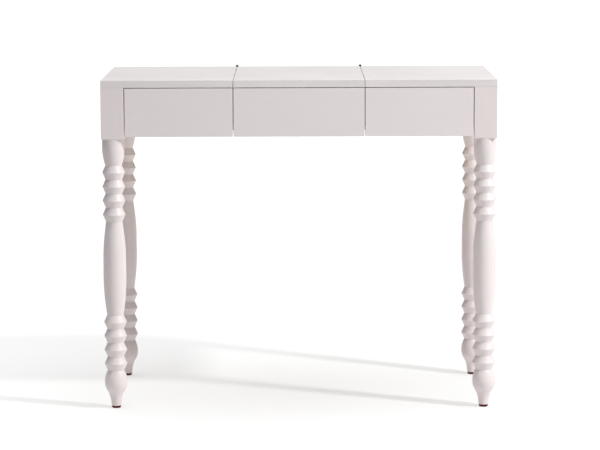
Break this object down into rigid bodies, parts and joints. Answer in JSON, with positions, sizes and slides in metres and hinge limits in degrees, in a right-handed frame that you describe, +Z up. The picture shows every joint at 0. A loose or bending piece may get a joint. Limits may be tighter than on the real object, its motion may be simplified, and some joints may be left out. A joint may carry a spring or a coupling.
{
  "type": "dressing table",
  "caption": "White painted dressing table on four turned legs, with drawers either side of a fixed front and a centre lid that lifts over a mirror and a shallow compartment.",
  "frame": {"origin": "on the floor, under the middle of the table", "axes": "+X to the sitter's right along the table's length, +Y to the back, +Z up"},
  "size_m": [0.914, 0.457, 0.774],
  "materials": {
    "white_paint": "satin white paint over wood, sprayed",
    "frame_wood": "planed pine, unpainted",
    "drawer_wood": "sanded poplar, clear sealed",
    "plywood": "birch plywood, sealed",
    "hardwood": "beech, waxed",
    "glide_plastic": "moulded brown plastic",
    "black_steel": "black lacquered steel",
    "screw_steel": "bright zinc plated steel",
    "clip_steel": "nickel plated steel",
    "mirror_glass": "silvered float glass",
    "felt": "self-adhesive felt pad"
  },
  "bodies": {
    "table": {"back_panel": "white_paint", "centre_front": "white_paint", "centre_front_cleats": "frame_wood", "compartment_floor": "plywood", "divider_left": "frame_wood", "divider_right": "frame_wood", "frame_screws": "screw_steel", "glide_front_left": "glide_plastic", "glide_front_right": "glide_plastic", "glide_nails": "screw_steel", "glide_rear_left": "glide_plastic", "glide_rear_right": "glide_plastic", "hinge_case_leaf_left": "black_steel", "hinge_case_leaf_right": "black_steel", "hinge_case_screws": "black_steel", "hinge_pins": "black_steel", "hinge_washers": "black_steel", "leg_front_left": "white_paint", "leg_front_right": "white_paint", "leg_rear_left": "white_paint", "leg_rear_right": "white_paint", "lid_bumpers": "felt", "lower_front_rail": "frame_wood", "runner_inner_left": "hardwood", "runner_inner_right": "hardwood", "runner_outer_left": "hardwood", "runner_outer_right": "hardwood", "runner_packer_left": "frame_wood", "runner_packer_right": "frame_wood", "runner_screws": "screw_steel", "side_apron_left": "white_paint", "side_apron_right": "white_paint", "top_cleat_left": "frame_wood", "top_cleat_right": "frame_wood", "top_left": "white_paint", "top_right": "white_paint", "top_screws": "screw_steel", "upper_front_rail_left": "frame_wood", "upper_front_rail_right": "frame_wood"},
    "lid": {"lid_panel": "white_paint", "mirror": "mirror_glass", "mirror_clips": "clip_steel", "mirror_clip_screws": "screw_steel", "hinge_lid_leaf_left": "black_steel", "hinge_lid_leaf_right": "black_steel", "hinge_lid_screws": "black_steel"},
    "drawer_left": {"drawer_front_left": "white_paint", "drawer_side_outer_left": "drawer_wood", "drawer_side_inner_left": "drawer_wood", "drawer_back_left": "drawer_wood", "drawer_bottom_left": "plywood", "drawer_nails_left": "screw_steel"},
    "drawer_right": {"drawer_front_right": "white_paint", "drawer_side_outer_right": "drawer_wood", "drawer_side_inner_right": "drawer_wood", "drawer_back_right": "drawer_wood", "drawer_bottom_right": "plywood", "drawer_nails_right": "screw_steel"}
  },
  "joints": [
    {"name": "lid_hinge", "type": "hinge", "parent": "table", "child": "lid", "pos_m": [0, 0.2245, 0.77], "axis": [-1, 0, 0], "range_deg": [0, 100]},
    {"name": "drawer_left_slide", "type": "slide", "parent": "table", "child": "drawer_left", "axis": [0, -1, 0], "range_m": [0, 0.26]},
    {"name": "drawer_right_slide", "type": "slide", "parent": "table", "child": "drawer_right", "axis": [0, -1, 0], "range_m": [0, 0.26]}
  ]
}
